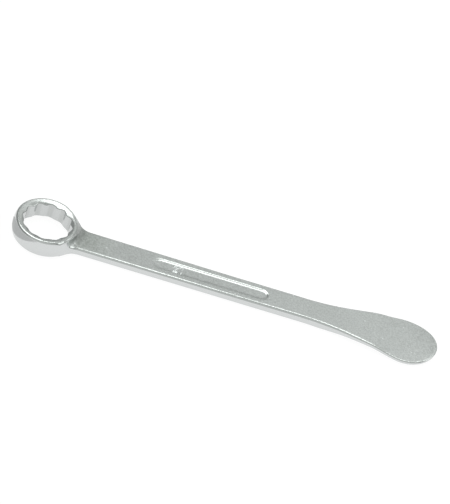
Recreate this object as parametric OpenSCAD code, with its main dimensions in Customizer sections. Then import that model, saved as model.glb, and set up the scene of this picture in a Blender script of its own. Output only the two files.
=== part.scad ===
// One-piece forged axle spanner: a twelve-point ring at one end and a
// spoon-shaped tyre lever at the other. The ring axis is +Z and passes through
// the origin, the shank runs along +X, and the flat underside lies on z = 0.

/* [Ring] */
// Nut size across flats, which the ring fits
across_flats = 27; // [24:0.5:30]
// Extra room across the flats, as a ring spanner is made with
flat_clearance = 0.2; // [0.1:0.05:0.4]
// Height of the ring from face to face
ring_h = 12.4; // [10:0.2:15]
// Radius of the ring's outer wall where it bulges most, at mid height
ring_bulge_r = 20.1; // [19.6:0.1:22]
// Outer radius of the flat rim on each face of the ring
rim_outer_r = 18.7; // [18:0.1:19.2]
// Inner radius of the flat rim, where the lead-in cone starts
rim_inner_r = 16.7; // [16:0.1:17.2]
// Radius of the bore that trims the tips of the teeth
tooth_tip_r = 14.15; // [13.9:0.05:14.4]
// Radius that trims the points of the opening
point_r = 15.3; // [15:0.05:15.6]
// Angle of the lead-in cone, from the flat face
lead_in_angle = 30; // [20:1:40]

/* [Shank] */
// Width of the shank beside the ring
shank_root_w = 18; // [15:0.5:20]
// Width of the shank where the spoon begins
shank_neck_w = 17.2; // [14:0.2:18]
// Thickness of the shank
shank_t = 5.4; // [4.8:0.1:6]
// Radius in plan between the ring and the shank
neck_plan_r = 17; // [12:1:22]
// Radius of the ramp that climbs from the shank to the top of the ring
ramp_r = 9; // [8:0.2:9.4]
// Distance from the ring axis to the foot of the ramp
ramp_x = 28; // [27.8:0.1:29]

/* [Panel] */
// Distance from the ring axis to the middle of the sunken panel
panel_x = 103; // [90:1:115]
// Length of the sunken panel
panel_l = 72; // [40:1:90]
// Width of the sunken panel
panel_w = 8.4; // [6:0.2:10]
// Depth of the sunken panel
panel_depth = 1; // [0.4:0.1:1.4]
// Height of the raised size mark above the panel's floor
mark_h = 0.5; // [0.2:0.1:0.8]

/* [Spoon] */
// Distance from the ring axis to the tip of the spoon
reach = 246; // [242:1:250]
// Half the spoon's width at its widest
spoon_half_w = 17.8; // [16:0.2:19]
// Length of the spoon's rounded end, from its widest place to the tip
spoon_end_l = 20.4; // [18:0.2:24]
// Angle of the spoon's straight flanks, from the shank's line
flare_angle = 11.2; // [9:0.2:14]
// Radius that leads each edge of the shank into the flank
flare_r = 165; // [140:5:200]
// Distance from the ring axis to the deepest point of the spoon's dish
dish_x = 228; // [224:1:232]
// Radius of the dish along the spoon's top
dish_r = 100; // [90:5:130]
// Depth of the dish below the shank's top
dish_depth = 1.9; // [1:0.1:2]
// Thickness of the spoon's thin edge
spoon_edge_t = 2.2; // [1.8:0.1:2.6]

/* [Hidden] */
$fn = 128;

// The twelve-point opening is two hexagons of this across-flats size.
opening_af = across_flats + flat_clearance;
hex_r = opening_af / 2 / cos(30);
cut_past = 1;

// The wall's bulge is an arc through both rims and the bulge radius.
bulge = ring_bulge_r - rim_outer_r;
bulge_arc_r = (pow(ring_h / 2, 2) + pow(bulge, 2)) / (2 * bulge);

// Each plan fillet touches the shank's edge, and a circle just inside the ring's
// wall, so that it always runs into the ring.
neck_touch_r = rim_outer_r - 0.5;
neck_y = shank_root_w / 2 + neck_plan_r;
neck_x = sqrt(pow(neck_touch_r + neck_plan_r, 2) - pow(neck_y, 2));
neck_touch = atan2(neck_y, neck_x);

// The spoon's end is half an ellipse. The flank meets it where both have the
// flare's angle, and an arc leads the shank's edge into the flank.
spoon_x = reach - spoon_end_l;
meet_turn = 90 + atan(tan(flare_angle) * spoon_end_l / spoon_half_w);
flank_end = [spoon_x + spoon_end_l * cos(meet_turn), spoon_half_w * sin(meet_turn)];
flank_start_y = shank_neck_w / 2 + flare_r * (1 - cos(flare_angle));
flank_start_x = flank_end[0] - (flank_end[1] - flank_start_y) / tan(flare_angle);
flare_x = flank_start_x - flare_r * sin(flare_angle);

// The blade thins between these two places, until its underside follows the dish.
dish_z = shank_t - dish_depth;
edge_z = dish_z - spoon_edge_t;
thin_start_x = flare_x + 8;
thin_end_x = dish_x - 15;
thin_end_z = edge_z + dish_rise(thin_end_x);

// The spine fades out under the blade between these two places, and ends this far
// inside the blade.
spine_sunk = 0.3;
spine_start_x = flare_x + 18;
spine_end_x = dish_x + 4;
spine_end_w = shank_neck_w / 2;
spine_end_z = edge_z + dish_rise(spine_end_x) + spine_sunk;

function dish_rise(x) = dish_r - sqrt(pow(dish_r, 2) - pow(x - dish_x, 2));

// Points along an arc or, with two radii, along an ellipse.
function arc(centre, radii, from, to, steps) =
    [for (i = [0 : steps]) let (a = from + (to - from) * i / steps)
        centre + [radii[0] * cos(a), radii[1] * sin(a)]];

module both_sides() {
    children();
    mirror([0, 1, 0]) children();
}

// Half of the plan view on the +Y side, without the ring.
module half_plan() {
    neck_radii = [neck_plan_r, neck_plan_r];
    flare_radii = [flare_r, flare_r];
    flare_centre = [flare_x, shank_neck_w / 2 + flare_r];
    polygon(concat(
        [[0, 0]],
        arc([neck_x, neck_y], neck_radii, neck_touch + 180, 270, 24),
        arc(flare_centre, flare_radii, 270, 270 + flare_angle, 24),
        arc([spoon_x, 0], [spoon_end_l, spoon_half_w], meet_turn, 0, 48)
    ));
}

// The dish's curve in side view, as a disc whose lowest point is at height z.
module dish_disc(z) {
    translate([dish_x, z + dish_r]) circle(r = dish_r, $fn = 360);
}

// Stands a side view up along the shank.
module swept_across(width) {
    translate([0, width / 2, 0]) rotate([90, 0, 0]) linear_extrude(width) children();
}

// The shank and the thin blade, whose underside follows the dish.
module blade() {
    intersection() {
        linear_extrude(shank_t) both_sides() half_plan();
        swept_across(2 * ring_bulge_r) difference() {
            union() {
                polygon([[0, 0], [thin_start_x, 0], [thin_end_x, thin_end_z],
                         [thin_end_x, shank_t], [0, shank_t]]);
                intersection() {
                    translate([thin_end_x, 0]) square([reach - thin_end_x, shank_t]);
                    dish_disc(edge_z);
                }
            }
            dish_disc(dish_z);
        }
    }
}

// The shank's own thickness runs on under the blade as a fading spine.
module spine() {
    intersection() {
        linear_extrude(shank_t) both_sides() polygon([
            [flare_x, 0], [spine_end_x, 0], [spine_end_x, spine_end_w / 2],
            [flare_x, shank_neck_w / 2]
        ]);
        swept_across(shank_neck_w) difference() {
            polygon([[flare_x, 0], [spine_start_x, 0], [spine_end_x, spine_end_z],
                     [spine_end_x, shank_t], [flare_x, shank_t]]);
            dish_disc(dish_z);
        }
    }
}

// A collar around the ring whose top is the ramp's arc, kept over the neck.
module ramp() {
    intersection() {
        linear_extrude(ring_h) both_sides() half_plan();
        rotate_extrude() difference() {
            translate([rim_inner_r, 0]) square([ramp_x - rim_inner_r, ring_h]);
            translate([ramp_x, shank_t + ramp_r]) circle(r = ramp_r);
        }
    }
}

module ring_blank() {
    rotate_extrude() intersection() {
        square([ring_bulge_r, ring_h]);
        translate([ring_bulge_r - bulge_arc_r, ring_h / 2]) circle(r = bulge_arc_r);
    }
}

// Twelve-point drive opening, with a lead-in cone at each face.
module drive_opening() {
    through_h = ring_h + 2 * cut_past;
    translate([0, 0, -cut_past]) intersection() {
        linear_extrude(through_h) for (turn = [0, 30]) rotate(turn) circle(r = hex_r, $fn = 6);
        cylinder(r = point_r, h = through_h);
    }
    translate([0, 0, -cut_past]) cylinder(r = tooth_tip_r, h = through_h);
    lead_in();
    translate([0, 0, ring_h]) mirror([0, 0, 1]) lead_in();
}

module lead_in() {
    translate([0, 0, -cut_past]) cylinder(r1 = rim_inner_r + cut_past / tan(lead_in_angle), r2 = 0,
        h = cut_past + rim_inner_r * tan(lead_in_angle));
}

module panel() {
    straight = panel_l - panel_w;
    translate([panel_x, 0, shank_t - panel_depth]) linear_extrude(panel_depth + cut_past) {
        square([straight, panel_w], center = true);
        for (side = [-1, 1]) translate([side * straight / 2, 0]) circle(d = panel_w);
    }
}

// The nut size as two plain raised figures, drawn with strokes.
module size_mark() {
    stroke = 0.8;
    figure_h = 4.6;
    figure_w = 3;
    top_y = figure_h - figure_w / 2;
    translate([panel_x - panel_l / 2 + 13, -figure_h / 2, shank_t - panel_depth - 0.1])
    linear_extrude(mark_h + 0.1) {
        stroke_line([0, stroke / 2], [figure_w, stroke / 2], stroke);
        stroke_line([stroke / 2, stroke / 2], [figure_w - stroke / 2, top_y - 0.5], stroke);
        translate([figure_w / 2, top_y]) intersection() {
            difference() {
                circle(d = figure_w, $fn = 32);
                circle(d = figure_w - 2 * stroke, $fn = 32);
            }
            translate([-figure_w, -0.5]) square([2 * figure_w, figure_w]);
        }
        translate([figure_w + 1.2, 0]) {
            stroke_line([0, figure_h - stroke / 2], [figure_w, figure_h - stroke / 2], stroke);
            stroke_line([figure_w / 3, stroke / 2],
                        [figure_w - stroke / 2, figure_h - stroke / 2], stroke);
        }
    }
}

// A flat stroke between two points, with square ends.
module stroke_line(a, b, w) {
    d = b - a;
    translate(a) rotate(atan2(d[1], d[0])) translate([-w / 2, -w / 2]) square([norm(d) + w, w]);
}

module spanner_forging() {
    color("silver") union() {
        difference() {
            union() {
                blade();
                spine();
                ramp();
                ring_blank();
            }
            drive_opening();
            panel();
        }
        size_mark();
    }
}

spanner_forging();
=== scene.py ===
"""The looks of a one-piece forged ring spanner with a spoon-shaped tyre lever."""

import math

import bpy
import numpy as np
from mathutils import Matrix, Vector


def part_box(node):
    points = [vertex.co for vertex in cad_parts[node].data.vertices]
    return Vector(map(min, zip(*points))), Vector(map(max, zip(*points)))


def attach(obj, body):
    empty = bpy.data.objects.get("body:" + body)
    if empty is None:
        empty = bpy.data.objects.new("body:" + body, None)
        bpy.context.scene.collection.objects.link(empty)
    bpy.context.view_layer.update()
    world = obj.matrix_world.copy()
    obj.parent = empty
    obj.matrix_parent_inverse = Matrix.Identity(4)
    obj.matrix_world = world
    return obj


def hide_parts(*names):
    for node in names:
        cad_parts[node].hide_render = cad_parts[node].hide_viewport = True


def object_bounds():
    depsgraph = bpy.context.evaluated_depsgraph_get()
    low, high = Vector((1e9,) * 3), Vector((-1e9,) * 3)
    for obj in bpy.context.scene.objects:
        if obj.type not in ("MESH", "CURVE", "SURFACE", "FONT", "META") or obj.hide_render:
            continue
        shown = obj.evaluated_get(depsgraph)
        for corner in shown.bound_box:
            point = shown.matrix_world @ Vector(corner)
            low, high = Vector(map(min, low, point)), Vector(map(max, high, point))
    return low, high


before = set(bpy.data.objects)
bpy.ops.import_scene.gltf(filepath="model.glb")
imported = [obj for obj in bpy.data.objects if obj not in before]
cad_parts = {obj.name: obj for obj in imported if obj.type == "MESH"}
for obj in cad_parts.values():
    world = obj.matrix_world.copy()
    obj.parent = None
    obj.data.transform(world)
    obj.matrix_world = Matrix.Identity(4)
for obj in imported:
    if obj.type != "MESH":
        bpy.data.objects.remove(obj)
cad_lo, cad_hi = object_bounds()

# The forging is described in millimetres and made in metres. Its main sizes are the frame's.
MM = 0.001
TINY = 1e-9
node_lo, node_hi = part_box("spanner_forging")
TIP_X = node_hi.x / MM
RING_H = node_hi.z / MM
RING_R = node_hi.y / MM

# Ring: the wall bulges between two narrow flat rims, round a twelve-point opening.
RIM_OUTER_R = 19.0
RIM_INNER_R = 17.1
RIM_EDGE_R = 1.3
RIM_INNER_EDGE_R = 1.0
TOOTH_TIP_R = 14.15
TOOTH_TIP_ROUND = 0.2
POINT_R = 15.3
POINT_ROUND = 0.4
OPENING_AF = 27.2
OPENING_EDGE_R = 0.15
LEAD_IN = math.radians(28)
BULGE = RING_R - RIM_OUTER_R
WALL_ARC_R = ((RING_H / 2) ** 2 + BULGE**2) / (2 * BULGE)

# Shank: its half width and its thickness change slowly between the ring and the spoon. Pairs like
# this one for the thickness are where a change along X starts and ends.
ROOT_X = 28
ROOT_HALF_W = 9.0
NECK_HALF_W = 8.62
TOP_EDGE_R = 1.6
NECK_EDGE_GAIN = 0.4
NECK_EDGE_GROWS = (8, 12)
NECK_EDGE_SHRINKS = (13, 20)
SHANK_T = 5.25
SHANK_T_GAIN = 0.25
SHANK_THICKENS = (110, 165)

# Neck: arcs join the flanks to the ring's wall, and a ramp joins the shank's top to the ring's.
# The ramp is tighter on one side than on the other, as the die has left it.
NECK_ARC_R = 17
NECK_TOUCH_R = 18.2
NECK_BLEND_R = 2.5
RAMP_FOOT_R = 19.1
RAMP_MID_R = 6.5
RAMP_SKEW = 0.33
RAMP_MIN_R = 4.2
RAMP_MAX_R = 10
RAMP_LEAN = 0.06
RAMP_LEAN_MAX = 0.8
RAMP_FROM = 6
RAMP_FULL = 13
RING_CLEAR = 2.5
RIM_EDGE_GAIN = 2.2
RIM_EDGE_GROWS = (8, 14)
RAMP_TURN = math.radians(25)

# Spoon: a flared plan with a half-elliptical end, and a dish along its top.
SPOON_HALF_W = 17.8
SPOON_END_L = 20.4
FLARE = math.radians(11.2)
FLARE_R = 165
DISH_X = 228
DISH_R = 100
DISH_SPAN = 0.9 * DISH_R
DISH_DEPTH = 2.0
DISH_BLEND = 0.8
CROWN = 0.25
CROWN_GROWS = (185, 215)
SPOON_EDGE_T = 2.2
SPOON_EDGE_R = 0.75
THINS = (172, 226)
THIN_POWER = 1.7
BLADE_STARTS = (168, 176)
SPINE_NARROWS = (172, 236)
SPINE_NARROWING = 0.7
SPINE_FADES = (196, 236)
SPINE_BLEND = 3

# Sunken panel with the nut size in raised figures. Its wall slopes by PANEL_WALL, and by
# PANEL_WALL_GAIN more on the -Y side.
PANEL_X = 103
PANEL_L = 72
PANEL_W = 8.4
PANEL_DEPTH = 0.6
PANEL_WALL = math.radians(33)
PANEL_WALL_GAIN = math.radians(-8)
PANEL_WALL_TURNS = (-2, 2)
PANEL_EDGE_R = 0.3
PANEL_FLOOR_R = 0.3
FIGURE_X = PANEL_X - PANEL_L / 2 + 13
FIGURE_H = 5.0
FIGURE_W = 2.3
FIGURE_PITCH = 3.7
FIGURE_STROKE = 0.95
FIGURE_RISE = 0.5
FIGURE_ROOT = 1
FIGURE_ROUND = 0.3
FIGURE_FILLET = 0.1
TWO_INSET = 0.15
SEVEN_FOOT = 1

# Finish: bright plating, grainy from blasting on the faces and smooth on the walls, with painted shade,
# a painted highlight and painted glints in its colour. Sizes and heights are in metres.
STEEL = (0.63, 0.645, 0.645, 1)
# The duller end of the steel's colour, for the clouds and grain and for painted shade.
STEEL_DULL_AND_SHADED = (0.52, 0.535, 0.53, 1)
SMOOTH_ROUGHNESS = 0.14
GRAINY_ROUGHNESS = 0.29
NECK_ROUGHNESS_GAIN = 0.2
MOTTLE_ROUGHNESS = 0.02
EDGE_SMOOTHING = 0.03
GRAIN_SIZE = 0.0011
GRAIN_BAND = (0.35, 0.65)
GRAIN_CONTRAST = 0.6
GRAIN_HEIGHT = 0.00009
MOTTLE_SIZE = 0.006
MOTTLE_BAND = (0.3, 0.7)
MOTTLE_HEIGHT = 0.00005
CLOUD_SIZE = 0.03
CLOUD_BAND = (0.35, 0.65)
CLOUD_DULL = 0.3
# Specks, far apart, where painted glints brighten the steel's colour.
SPECK_SPACING = 0.024
SPECK_R = 0.0006
GLINT_GAIN = 2.0
# How far the colour goes towards the duller steel for painted shade in the opening and on the neck, and past
# the bright steel for the painted highlight on the raised figures.
OPENING_PAINTED_SHADE = 0.45
NECK_PAINTED_SHADE = 1.8
FIGURE_PAINTED_HIGHLIGHT = 1.6

# Where the finish and the painted shade change, as (low, high) for smoothstep. Facing is how far a face looks
# up, or along the ramp. Side is how far it looks sideways.
GRAINY_FACING = (0.88, 0.98)
EDGE_PROBE = 0.35
EDGE_BEND = (0.25, 0.9)
# Where the painted shade in the opening goes.
GROOVE_R = (TOOTH_TIP_R + 0.4, POINT_R - 0.1)
GROOVE_REACH = POINT_R + 0.3
GROOVE_FACING = (0.3, 0.7)
RAMP_REACH_X = RIM_INNER_R - 2
NECK_STARTS = (15, 20)
NECK_ENDS = (28, 48)
NECK_FACING = (0.45, 0.7)
NECK_SIDE = (0.3, 0.6)
NECK_ACROSS = (-11, -4)
FIGURE_REACH = 0.15


def smoothstep(value, low, high):
    """0 below low, 1 above high, and a smooth change between."""
    t = np.clip((value - low) / (high - low), 0, 1)
    return t * t * (3 - 2 * t)


def join_round(a, b, r):
    """Union of two signed distances, with a fillet of radius r."""
    return np.maximum(r, np.minimum(a, b)) - np.hypot(np.maximum(r - a, 0), np.maximum(r - b, 0))


def keep_round(a, b, r):
    """Intersection of two signed distances, with an edge of radius r."""
    return np.minimum(-r, np.maximum(a, b)) + np.hypot(np.maximum(r + a, 0), np.maximum(r + b, 0))


def cut_round(a, b, r):
    """a without b, with an edge of radius r."""
    return keep_round(a, -b, r)


# Where the flank's straight line meets the elliptical end, and where the shank flares into it.
spoon_x = TIP_X - SPOON_END_L
meet_turn = math.pi / 2 + math.atan(math.tan(FLARE) * SPOON_END_L / SPOON_HALF_W)
meet_x = spoon_x + SPOON_END_L * math.cos(meet_turn)
meet_y = SPOON_HALF_W * math.sin(meet_turn)
line_y = NECK_HALF_W + FLARE_R * (1 - math.cos(FLARE))
line_x = meet_x - (meet_y - line_y) / math.tan(FLARE)
flare_x = line_x - FLARE_R * math.sin(FLARE)


def half_width(x):
    """Half the width of the shank and of the spoon's flanks."""
    narrowing = np.clip((x - ROOT_X) / (flare_x - ROOT_X), 0, 1)
    straight = ROOT_HALF_W + (NECK_HALF_W - ROOT_HALF_W) * narrowing
    along = np.clip(x - flare_x, 0, line_x - flare_x)
    arc = FLARE_R - np.sqrt(FLARE_R**2 - along**2)
    return straight + arc + np.maximum(x - line_x, 0) * math.tan(FLARE)


neck_lift = ROOT_HALF_W + NECK_ARC_R
neck_x = math.sqrt((NECK_TOUCH_R + NECK_ARC_R) ** 2 - neck_lift**2)
touch_share = NECK_TOUCH_R / (NECK_TOUCH_R + NECK_ARC_R)
touch_x, touch_y = neck_x * touch_share, neck_lift * touch_share


def neck_distance(x, y):
    """Signed distance to the arcs that widen the shank where it meets the ring."""
    arc = NECK_ARC_R - np.hypot(x - neck_x, np.abs(y) - neck_lift)
    return np.where(x > touch_x, arc, np.abs(y) - touch_y)


def plan_distance(x, y):
    """Signed distance to the plan outline of the shank and spoon."""
    along = np.clip(x - flare_x, 0, line_x - flare_x)
    lean = np.arcsin(along / FLARE_R)
    flank = (np.abs(y) - half_width(x)) * np.cos(lean)
    u = (x - spoon_x) / SPOON_END_L
    v = y / SPOON_HALF_W
    reach = np.sqrt(u**2 + v**2) + TINY
    slope = np.sqrt((u / SPOON_END_L) ** 2 + (v / SPOON_HALF_W) ** 2) + TINY
    end = (reach - 1) * reach / slope
    body = np.where(x < neck_x, neck_distance(x, y), np.where(x < meet_x, flank, end))
    return np.maximum(body, -x)


def dish(x, z):
    """Height of the dish's arc at x, when its lowest point is at z."""
    off = np.clip(x - DISH_X, -DISH_SPAN, DISH_SPAN)
    return z + DISH_R - np.sqrt(DISH_R**2 - off**2)


def lower_of(a, b, r):
    """The lower of two heights, blended where they are closer than r."""
    near = np.maximum(r - np.abs(a - b), 0) / r
    return np.minimum(a, b) - near * near * r / 4


def top_face(x, y):
    """Height of the top of the shank and spoon."""
    flat = SHANK_T + SHANK_T_GAIN * smoothstep(x, *SHANK_THICKENS)
    dished = lower_of(dish(x, SHANK_T + SHANK_T_GAIN - DISH_DEPTH), flat, DISH_BLEND)
    crown = CROWN * smoothstep(x, *CROWN_GROWS) * (y / SPOON_HALF_W) ** 2
    return dished - crown


def ramp_reach(x, y, rho):
    """How far out along the ramp: round the ring at first, then straight on past RAMP_TURN."""
    straight = x * math.cos(RAMP_TURN) + np.abs(y) * math.sin(RAMP_TURN)
    return np.where(np.abs(y) > x * math.tan(RAMP_TURN), straight, rho)


def above_top(x, y, z, rho):
    """Signed distance above the shank's top and above the ramp that joins it to the ring."""
    ramp_r = np.clip(RAMP_MID_R + RAMP_SKEW * y, RAMP_MIN_R, RAMP_MAX_R)
    rise = RING_H - SHANK_T
    lean = np.clip(RAMP_LEAN * y, -RAMP_LEAN_MAX, 0)
    foot = RAMP_FOOT_R + lean + np.sqrt(ramp_r**2 - np.maximum(ramp_r - rise, 0) ** 2)
    in_x = np.maximum(foot - ramp_reach(x, y, rho), 0)
    in_z = np.maximum(top_face(x, y) + ramp_r - z, 0)
    beside_ring = 1 - smoothstep(x, RAMP_FROM, RAMP_FULL)
    return ramp_r - np.hypot(in_x, in_z) - RING_CLEAR * beside_ring


def under_face(x, y):
    """Height of the underside: flat, then a thin blade with a spine that fades out."""
    thin_from, thin_to = THINS
    thinned = np.clip((x - thin_from) / (thin_to - thin_from), 0, 1)
    full_t = SHANK_T + SHANK_T_GAIN
    thickness = SPOON_EDGE_T + (full_t - SPOON_EDGE_T) * (1 - thinned) ** THIN_POWER
    blade = np.maximum(top_face(x, y) - thickness, 0) * smoothstep(x, *BLADE_STARTS)
    spine_half_w = NECK_HALF_W * (1 - SPINE_NARROWING * smoothstep(x, *SPINE_NARROWS))
    spine = 1 - smoothstep(np.abs(y), spine_half_w - SPINE_BLEND, spine_half_w + SPINE_BLEND)
    return blade * (1 - spine * (1 - smoothstep(x, *SPINE_FADES)))


def ring_wall(rho, z):
    """Signed distance to the ring's bulging outer wall."""
    return np.hypot(rho - (RING_R - WALL_ARC_R), z - RING_H / 2) - WALL_ARC_R


def opening(x, y, rho):
    """Signed distance to the twelve-point opening: two hexagons, trimmed at points and teeth."""
    hexagons = []
    for first in (0, 30):
        sides = [math.radians(first + turn) for turn in (0, 60, 120)]
        across = [np.abs(x * math.cos(a) + y * math.sin(a)) for a in sides]
        hexagons.append(np.maximum(np.maximum(across[0], across[1]), across[2]) - OPENING_AF / 2)
    star = np.minimum(*hexagons)
    star = keep_round(star, rho - POINT_R, POINT_ROUND)
    return join_round(star, rho - TOOTH_TIP_R, TOOTH_TIP_ROUND)


def lead_in(rho, depth):
    """Signed distance to the cone that opens towards a face. depth is measured from that face."""
    return (RIM_INNER_R - rho) * math.sin(LEAD_IN) - depth * math.cos(LEAD_IN)


def panel(x, y, z):
    """Signed distance to the sunken panel. One of its long walls is gentler than the other."""
    straight = (PANEL_L - PANEL_W) / 2
    outline = np.hypot(np.maximum(np.abs(x - PANEL_X) - straight, 0), y) - PANEL_W / 2
    depth = top_face(x, y) - z
    slope = PANEL_WALL + PANEL_WALL_GAIN * smoothstep(-y, *PANEL_WALL_TURNS)
    wall = outline * np.sin(slope) + depth * np.cos(slope)
    return keep_round(wall, depth - PANEL_DEPTH, PANEL_FLOOR_R)


def stroke(x, y, a, b):
    """Distance to the straight line between two points."""
    dx, dy = b[0] - a[0], b[1] - a[1]
    t = np.clip(((x - a[0]) * dx + (y - a[1]) * dy) / (dx * dx + dy * dy), 0, 1)
    return np.hypot(x - a[0] - t * dx, y - a[1] - t * dy)


def two(x, y):
    """Distance in plan to the strokes of the 2: a bow, a slant and a foot."""
    left, right = FIGURE_X, FIGURE_X + FIGURE_W
    low, high = -FIGURE_H / 2, FIGURE_H / 2
    bow_r = FIGURE_W / 2
    bow_x, bow_y = left + bow_r, high - bow_r
    bow = np.maximum(np.abs(np.hypot(x - bow_x, y - bow_y) - bow_r), bow_y - y)
    slant = stroke(x, y, (right - TWO_INSET, bow_y), (left, low))
    return np.minimum(np.minimum(bow, slant), stroke(x, y, (left, low), (right, low)))


def seven(x, y):
    """Distance in plan to the strokes of the 7: a bar and a slant."""
    left = FIGURE_X + FIGURE_PITCH
    right = left + FIGURE_W
    low, high = -FIGURE_H / 2, FIGURE_H / 2
    bar = stroke(x, y, (left, high), (right, high))
    return np.minimum(bar, stroke(x, y, (right, high), (left + SEVEN_FOOT, low)))


def figures(x, y, z):
    """Signed distance to the two plain raised figures of the nut size."""
    flat = np.minimum(two(x, y), seven(x, y)) - FIGURE_STROKE / 2
    floor = top_face(x, y) - PANEL_DEPTH
    slab = np.maximum(z - (floor + FIGURE_RISE), floor - FIGURE_ROOT - z)
    return keep_round(flat, slab, FIGURE_ROUND)


def forging(x, y, z):
    """Signed distance, in millimetres, to the whole forging. It is below 0 in the steel."""
    rho = np.hypot(x, y)
    edge_r = TOP_EDGE_R + (SPOON_EDGE_R - TOP_EDGE_R) * smoothstep(x, *THINS)
    near_neck = smoothstep(x, *NECK_EDGE_GROWS) * (1 - smoothstep(x, *NECK_EDGE_SHRINKS))
    sides = join_round(plan_distance(x, y), ring_wall(rho, z), NECK_BLEND_R)
    steel = keep_round(sides, above_top(x, y, z, rho), edge_r + NECK_EDGE_GAIN * near_neck)
    steel = keep_round(steel, under_face(x, y) - z, edge_r)
    rim_edge_r = RIM_EDGE_R + RIM_EDGE_GAIN * smoothstep(x, *RIM_EDGE_GROWS)
    steel = keep_round(steel, z - RING_H, rim_edge_r)
    steel = keep_round(steel, lead_in(rho, RING_H - z), RIM_INNER_EDGE_R)
    steel = keep_round(steel, lead_in(rho, z), RIM_INNER_EDGE_R)
    steel = cut_round(steel, opening(x, y, rho), OPENING_EDGE_R)
    steel = cut_round(steel, panel(x, y, z), PANEL_EDGE_R)
    return join_round(steel, figures(x, y, z), FIGURE_FILLET)


# Grid for the surface. Each axis is a list of (start, step), closed by its end. The steps are short
# at the ring, the panel's ends, the figures, the long edges and the spoon.
X_RUNS = (
    (-20.9, 0.41), (32, 1.5), (65, 0.35), (72, 1.5), (78, 0.22), (90, 1.5), (132, 0.35), (140, 1.5),
    (158, 0.65),
)
Y_RUNS = ((-20.9, 0.42), (-9.6, 0.33), (-4.8, 0.24), (-2.6, 0.26), (2.4, 0.2), (4.8, 0.33), (9.6, 0.42))
Z_RUNS = ((-0.65, 0.31), (6.2, 0.45))
X_END = TIP_X + 0.9
Y_END = 20.9
Z_END = RING_H + 0.8
SLAB = 40
ROOT_STEPS = 7
PROBE = 0.01
PULL = 0.04
SETTLE_STEPS = 2
MAX_SETTLE = 0.06


def axis_stops(runs, end):
    """Grid coordinates along one axis, in even steps within each run."""
    stops = []
    for (start, step), (stop, _) in zip(runs, runs[1:] + ((end, 0),)):
        count = max(1, round((stop - start) / step))
        stops.append(np.linspace(start, stop, count, endpoint=False))
    return np.concatenate(stops + [[end]])


def field_on_grid(field, axes):
    """The field at every grid point, worked out one slab of x at a time."""
    slabs = []
    for first in range(0, len(axes[0]), SLAB):
        points = np.meshgrid(axes[0][first:first + SLAB], axes[1], axes[2], indexing="ij")
        slabs.append(field(*points))
    return np.concatenate(slabs)


def gradient(field, points):
    """Slope of the field at each point, by central differences."""
    slopes = []
    for axis in range(3):
        step = np.zeros(3)
        step[axis] = PROBE
        ahead = field(*(points + step).T)
        slopes.append((ahead - field(*(points - step).T)) / (2 * PROBE))
    return np.stack(slopes, 1)


def crossings(field, axes, value, axis):
    """Cuts of the surface with the grid lines along one axis: indices, points, and if it leaves the steel."""
    low = [slice(None)] * 3
    high = [slice(None)] * 3
    low[axis], high[axis] = slice(None, -1), slice(1, None)
    index = np.argwhere((value[tuple(low)] < 0) != (value[tuple(high)] < 0))
    start = np.stack([axes[k][index[:, k]] for k in range(3)], 1)
    end = start.copy()
    end[:, axis] = axes[axis][index[:, axis] + 1]
    leaving = value[tuple(index.T)] < 0
    inner = np.where(leaving[:, None], start, end)
    outer = np.where(leaving[:, None], end, start)
    for _ in range(ROOT_STEPS):
        middle = (inner + outer) / 2
        steel = (field(*middle.T) < 0)[:, None]
        inner, outer = np.where(steel, middle, inner), np.where(steel, outer, middle)
    return index, (inner + outer) / 2, leaving


def around(index, axis):
    """The four cells round each grid edge, in turn as seen from the axis's positive end."""
    second, third = (axis + 1) % 3, (axis + 2) % 3
    corners = []
    for back_second, back_third in ((1, 1), (0, 1), (0, 0), (1, 0)):
        cell = index.copy()
        cell[:, second] -= back_second
        cell[:, third] -= back_third
        corners.append(cell)
    return np.stack(corners, 1)


def best_points(cell_of, points, normals, count):
    """The point in each cell that lies best on the planes of its crossings."""
    def total(weights):
        return np.bincount(cell_of, weights, count)

    share = np.maximum(total(None), 1)
    mean = np.stack([total(points[:, k]) for k in range(3)], 1) / share[:, None]
    off = np.einsum("ij,ij->i", normals, points - mean[cell_of])
    square = np.zeros((count, 3, 3))
    for i in range(3):
        for j in range(3):
            square[:, i, j] = total(normals[:, i] * normals[:, j])
    right = np.stack([total(normals[:, k] * off) for k in range(3)], 1)
    square += PULL * share[:, None, None] * np.eye(3)
    return mean + np.linalg.solve(square, right[:, :, None])[:, :, 0]


def skin(field, axes):
    """Vertices and quads of the field's zero surface, one vertex in each cell that it passes through."""
    value = field_on_grid(field, axes)
    shape = tuple(len(axis) for axis in axes)
    quads, cells, points = [], [], []
    for axis in range(3):
        index, point, leaving = crossings(field, axes, value, axis)
        ring = around(index, axis)
        ring[~leaving] = ring[~leaving][:, ::-1]
        quads.append(np.ravel_multi_index(ring.reshape(-1, 3).T, shape).reshape(-1, 4))
        points.append(np.repeat(point, 4, axis=0))
        cells.append(quads[-1].ravel())
    used, flat = np.unique(np.concatenate(cells), return_inverse=True)
    points = np.concatenate(points)
    normals = gradient(field, points)
    normals /= np.linalg.norm(normals, axis=1)[:, None] + TINY
    vertices = best_points(flat, points, normals, len(used))
    corner = np.stack(np.unravel_index(used, shape), 1)
    low = np.stack([axes[k][corner[:, k]] for k in range(3)], 1)
    high = np.stack([axes[k][corner[:, k] + 1] for k in range(3)], 1)
    vertices = np.clip(vertices, low, high)
    for _ in range(SETTLE_STEPS):
        slope = gradient(field, vertices)
        length = np.linalg.norm(slope, axis=1) + TINY
        move = np.clip(field(*vertices.T) / length, -MAX_SETTLE, MAX_SETTLE)
        vertices -= slope / length[:, None] * move[:, None]
    return vertices, flat.reshape(-1, 4)


def bending(field, vertices):
    """How sharply the surface bends outwards at each vertex."""
    around_it = np.zeros(len(vertices))
    for step in EDGE_PROBE * np.eye(3):
        around_it += field(*(vertices + step).T) + field(*(vertices - step).T)
    return (around_it - 6 * field(*vertices.T)) / EDGE_PROBE**2


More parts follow.
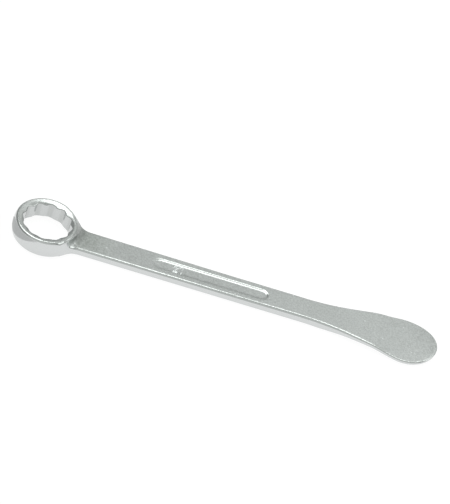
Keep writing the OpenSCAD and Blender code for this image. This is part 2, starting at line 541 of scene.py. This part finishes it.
def masks(field, vertices):
    """For each vertex: how grainy it is and how much on an edge, from 0 to 1; the painted shade in the
    opening's grooves less the painted highlight on the raised figures; and how much on the neck, which is
    rougher and has painted shade.
    """
    x, y, z = vertices.T
    rho = np.hypot(x, y)
    slope = gradient(field, vertices)
    slope /= np.linalg.norm(slope, axis=1)[:, None] + TINY
    facing = np.hypot(slope[:, 2], np.maximum(slope[:, 0], 0) * (x > RAMP_REACH_X))
    # Painted shade on the opening's walls, lightest at the tooth tips and darkest in the grooves between the
    # points.
    painted_light = OPENING_PAINTED_SHADE + (1 - OPENING_PAINTED_SHADE) * smoothstep(rho, *GROOVE_R)
    painted_light = painted_light * (rho < GROOVE_REACH) * (1 - smoothstep(facing, *GROOVE_FACING))
    # The neck's top: rougher, and darkened by painted shade, with less of it towards the near side.
    neck = smoothstep(x, *NECK_STARTS) * (1 - smoothstep(x, *NECK_ENDS))
    neck = neck * smoothstep(facing, *NECK_FACING) * (1 - smoothstep(np.abs(slope[:, 1]), *NECK_SIDE))
    neck = neck * smoothstep(y, *NECK_ACROSS)
    raised = figures(x, y, z) < FIGURE_REACH
    return {
        "grainy": np.maximum(smoothstep(facing, *GRAINY_FACING), raised),
        "edge": smoothstep(bending(field, vertices), *EDGE_BEND),
        # The raised figures get a painted highlight, taken off the painted shade.
        "painted_light": painted_light - FIGURE_PAINTED_HIGHLIGHT * raised,
        "neck": neck,
    }


def make_piece(name, field, axes):
    """A mesh object of the field's surface, in metres, with smooth shading."""
    vertices, quads = skin(field, axes)
    mesh = bpy.data.meshes.new(name)
    mesh.vertices.add(len(vertices))
    mesh.vertices.foreach_set("co", (vertices * MM).astype(np.float32).ravel())
    mesh.loops.add(quads.size)
    mesh.loops.foreach_set("vertex_index", quads.astype(np.int32).ravel())
    mesh.polygons.add(len(quads))
    mesh.polygons.foreach_set("loop_start", np.arange(0, quads.size, 4, dtype=np.int32))
    mesh.update(calc_edges=True)
    mesh.validate()
    mesh.shade_smooth()
    for mask, value in masks(field, vertices).items():
        layer = mesh.attributes.new(mask, "FLOAT", "POINT")
        layer.data.foreach_set("value", value.astype(np.float32))
    piece = bpy.data.objects.new(name, mesh)
    bpy.context.scene.collection.objects.link(piece)
    return piece


# Camera: where it looks from, with its azimuth from +X, in degrees, and what it looks at, in metres.
VIEW_AZIMUTH = -96.549
VIEW_ELEVATION = 41.991
VIEW_ROLL = math.radians(21.381)
VIEW_TARGET = Vector((0.1083, 0.0290, 0.0030))
VIEW_DISTANCE = 1.5286
VIEW_LENS = 180.16


# Studio: how bright the floor glows, and the sky with its soft areas. Each area is
# (azimuth from +X, elevation, half width where full, half width where it ends, strength).
FLOOR = ((-3, -3), (3, -3), (3, 3), (-3, 3))
FLOOR_COLOUR = (0.16, 0.16, 0.16, 1)
FLOOR_GLOW = 0.90
SKY = 0.34
SKY_TINT = (0.965, 1, 0.968, 1)
SOFT_AREAS = (
    (80, 45, 10, 38, 0.15),
    (-90, 30, 20, 62, 0.34),
    (122, 75, 15, 27, 2.2),
    (85, 10, 16, 36, 0.16),
    (165, 60, 8, 22, 0.9),
    (20, 52, 12, 36, 0.30),
    (0, 25, 10, 24, 1.2),
)
# Softboxes: (azimuth, elevation, distance, width, height, brightness), in metres round the centre.
SOFTBOXES = ((57, 37, 1.55, 0.9, 0.9, 0.22),)
# Grey card that lies beside the ring, for the ring's wall to reflect. The camera doesn't see it.
CARD = ((-0.11, -0.08), (-0.012, -0.08), (-0.0215, 0.008), (-0.11, 0.008))
CARD_GLOW = 0.52
CARD_LIFT = 0.0003


def direction(azimuth, elevation):
    """Unit vector towards an azimuth from +X and an elevation, both in degrees."""
    azimuth, elevation = math.radians(azimuth), math.radians(elevation)
    flat = math.cos(elevation)
    return Vector((math.cos(azimuth) * flat, math.sin(azimuth) * flat, math.sin(elevation)))


def make_camera():
    """A long lens that looks down on the forging, with the ring nearest its left."""
    towards = direction(VIEW_AZIMUTH, VIEW_ELEVATION)
    data = bpy.data.cameras.new("camera")
    data.lens = VIEW_LENS
    data.clip_end = 20
    camera = bpy.data.objects.new("camera", data)
    turn = (-towards).to_track_quat("-Z", "Y").to_matrix() @ Matrix.Rotation(VIEW_ROLL, 3, "Z")
    camera.matrix_world = Matrix.Translation(VIEW_TARGET + towards * VIEW_DISTANCE) @ turn.to_4x4()
    bpy.context.scene.collection.objects.link(camera)
    bpy.context.scene.camera = camera


class Nodes:
    """Short calls for building a node tree."""

    def __init__(self, tree):
        self.tree = tree

    def add(self, kind, links=(), **settings):
        """A node of that kind. links maps its input names or numbers to sockets or plain values."""
        node = self.tree.nodes.new(kind)
        for key, value in settings.items():
            setattr(node, key, value)
        for key, value in dict(links).items():
            self.put(node.inputs[key], value)
        return node

    def put(self, socket, value):
        """Joins a socket to another one, or sets its plain value."""
        if isinstance(value, bpy.types.NodeSocket):
            self.tree.links.new(value, socket)
        else:
            socket.default_value = value

    def noise(self, where, size, detail=2, contrast=0.5):
        """Noise with features about that many metres across, from 0 to 1."""
        node = self.add("ShaderNodeTexNoise", {
            "Vector": where, "Scale": 1 / size, "Detail": detail, "Roughness": contrast})
        return node.outputs["Fac"]

    def remap(self, value, low, high, new_low=0, new_high=1):
        """value moved from low..high to new_low..new_high, and held there."""
        node = self.add("ShaderNodeMapRange", {
            "Value": value, "From Min": low, "From Max": high, "To Min": new_low, "To Max": new_high})
        return node.outputs["Result"]

    def math(self, operation, a, b):
        """The result of a sum or product."""
        return self.add("ShaderNodeMath", {0: a, 1: b}, operation=operation).outputs[0]

    def attribute(self, name):
        """One of the masks that the mesh carries."""
        return self.add("ShaderNodeAttribute", attribute_name=name).outputs["Fac"]

    def bump(self, height, distance, normal=None):
        """A normal tilted by relief that is that many metres high."""
        links = {"Height": height, "Distance": distance, "Strength": 1}
        if normal is not None:
            links["Normal"] = normal
        return self.add("ShaderNodeBump", links).outputs["Normal"]


def plating_roughness(nodes, grainy, mottle):
    """Smooth on the walls, rougher on the grainy faces, and roughest on the neck."""
    rough = nodes.remap(grainy, 0, 1, SMOOTH_ROUGHNESS, GRAINY_ROUGHNESS)
    uneven = nodes.remap(mottle, *MOTTLE_BAND, -MOTTLE_ROUGHNESS, MOTTLE_ROUGHNESS)
    rough = nodes.math("ADD", rough, uneven)
    rough = nodes.math("ADD", rough, nodes.remap(nodes.attribute("neck"), 0, 1, 0, NECK_ROUGHNESS_GAIN))
    return nodes.math("SUBTRACT", rough, nodes.remap(nodes.attribute("edge"), 0, 1, 0, EDGE_SMOOTHING))


def glint_specks(nodes, where):
    """Small specks, far apart, from 0 to 1, where painted glints brighten the steel."""
    cell = nodes.add(
        "ShaderNodeTexVoronoi", {"Vector": where, "Scale": 1 / SPECK_SPACING}, voronoi_dimensions="2D")
    speck_r = SPECK_R / SPECK_SPACING
    return nodes.remap(cell.outputs["Distance"], 0.5 * speck_r, speck_r, 1, 0)


def plating_tint_and_painted_light(nodes, where, grainy, grain):
    """Brighter and duller steel: clouds and grain on the faces, painted glints as specks, painted shade on
    the neck and in the grooves, and a painted highlight on the raised figures.
    """
    clouds = nodes.remap(nodes.noise(where, CLOUD_SIZE, 2, 0.5), *CLOUD_BAND, 0, CLOUD_DULL)
    dull_and_painted_light = nodes.math("MULTIPLY", clouds, grainy)
    # Painted shade on the neck's top.
    dull_and_painted_light = nodes.math("ADD", dull_and_painted_light, nodes.math("MULTIPLY", nodes.attribute("neck"), NECK_PAINTED_SHADE))
    # Painted shade in the opening's grooves, less the painted highlight on the raised figures.
    dull_and_painted_light = nodes.math("ADD", dull_and_painted_light, nodes.attribute("painted_light"))
    speckle = nodes.remap(grain, *GRAIN_BAND, -GRAIN_CONTRAST, GRAIN_CONTRAST)
    dull_and_painted_light = nodes.math("ADD", dull_and_painted_light, nodes.math("MULTIPLY", speckle, grainy))
    # Painted glints: the specks brighten the steel past its own colour.
    bright = nodes.math("MULTIPLY", grainy, GLINT_GAIN)
    dull_and_painted_light = nodes.math("SUBTRACT", dull_and_painted_light, nodes.math("MULTIPLY", glint_specks(nodes, where), bright))
    tint = nodes.add("ShaderNodeMix", {0: dull_and_painted_light, 6: STEEL, 7: STEEL_DULL_AND_SHADED}, data_type="RGBA")
    tint.clamp_factor = False
    return tint.outputs[2]


def make_material():
    """Bright plating on forged steel: grain and mottling on the faces, smooth edges, painted shade in the
    hollows and on the neck, painted glints and a painted highlight on the figures.
    """
    material = bpy.data.materials.new("satin_chrome")
    material.use_nodes = True
    shader = material.node_tree.nodes["Principled BSDF"]
    nodes = Nodes(material.node_tree)
    where = nodes.add("ShaderNodeTexCoord").outputs["Object"]
    grainy = nodes.attribute("grainy")
    grain = nodes.noise(where, GRAIN_SIZE, 2, 0.6)
    mottle = nodes.noise(where, MOTTLE_SIZE, 3, 0.6)
    waves = nodes.bump(mottle, MOTTLE_HEIGHT)
    relief = nodes.bump(nodes.math("MULTIPLY", grain, grainy), GRAIN_HEIGHT, waves)
    shader.inputs["Metallic"].default_value = 1
    nodes.put(shader.inputs["Base Color"], plating_tint_and_painted_light(nodes, where, grainy, grain))
    nodes.put(shader.inputs["Roughness"], plating_roughness(nodes, grainy, mottle))
    nodes.put(shader.inputs["Normal"], relief)
    return material


def make_sheet(name, corners, z, glow):
    """A flat sheet that glows evenly, as a light table does. It is part of the stage."""
    mesh = bpy.data.meshes.new(name)
    mesh.from_pydata([(x, y, z) for x, y in corners], [], [(0, 1, 2, 3)])
    sheet = bpy.data.objects.new(name, mesh)
    bpy.context.scene.collection.objects.link(sheet)
    material = bpy.data.materials.new(name)
    material.use_nodes = True
    shader = material.node_tree.nodes["Principled BSDF"]
    shader.inputs["Base Color"].default_value = FLOOR_COLOUR
    shader.inputs["Roughness"].default_value = 1
    shader.inputs["Specular IOR Level"].default_value = 0
    shader.inputs["Emission Color"].default_value = (1, 1, 1, 1)
    shader.inputs["Emission Strength"].default_value = glow
    mesh.materials.append(material)
    return sheet


def make_softboxes():
    """Large square lamps that face the forging's middle."""
    middle = Vector(((cad_lo.x + cad_hi.x) / 2, (cad_lo.y + cad_hi.y) / 2, 0))
    for number, (azimuth, elevation, distance, width, height, brightness) in enumerate(SOFTBOXES):
        towards = direction(azimuth, elevation)
        data = bpy.data.lights.new(f"softbox_{number}", "AREA")
        data.shape = "RECTANGLE"
        data.size = width
        data.size_y = height
        data.energy = brightness * math.pi * width * height
        data.color = SKY_TINT[:3]
        lamp = bpy.data.objects.new(data.name, data)
        turn = towards.to_track_quat("Z", "Y").to_matrix().to_4x4()
        lamp.matrix_world = Matrix.Translation(middle + towards * distance) @ turn
        lamp.visible_camera = False
        bpy.context.scene.collection.objects.link(lamp)


def make_world():
    """Soft light from all round, with broad brighter areas like softboxes far away."""
    world = bpy.data.worlds.new("studio")
    world.use_nodes = True
    background = world.node_tree.nodes["Background"]
    nodes = Nodes(world.node_tree)
    where = nodes.add("ShaderNodeTexCoord").outputs["Generated"]
    light = SKY
    for azimuth, elevation, inner, outer, strength in SOFT_AREAS:
        near = nodes.add(
            "ShaderNodeVectorMath", {0: where, 1: direction(azimuth, elevation)}, operation="DOT_PRODUCT")
        area = nodes.add("ShaderNodeMapRange", {
            "Value": near.outputs["Value"],
            "From Min": math.cos(math.radians(outer)), "From Max": math.cos(math.radians(inner)),
            "To Min": 0, "To Max": strength}, interpolation_type="SMOOTHSTEP")
        light = nodes.math("ADD", light, area.outputs["Result"])
    background.inputs["Color"].default_value = SKY_TINT
    nodes.put(background.inputs["Strength"], light)
    bpy.context.scene.world = world


axes = (axis_stops(X_RUNS, X_END), axis_stops(Y_RUNS, Y_END), axis_stops(Z_RUNS, Z_END))
spanner = make_piece("ring_spanner", forging, axes)
spanner.data.materials.append(make_material())
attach(spanner, "root")
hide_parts("spanner_forging")
make_sheet("floor", FLOOR, 0, FLOOR_GLOW)
card = make_sheet("card", CARD, CARD_LIFT, CARD_GLOW)
card.visible_camera = False
make_world()
make_softboxes()
make_camera()
bpy.context.scene.view_settings.view_transform = "Standard"
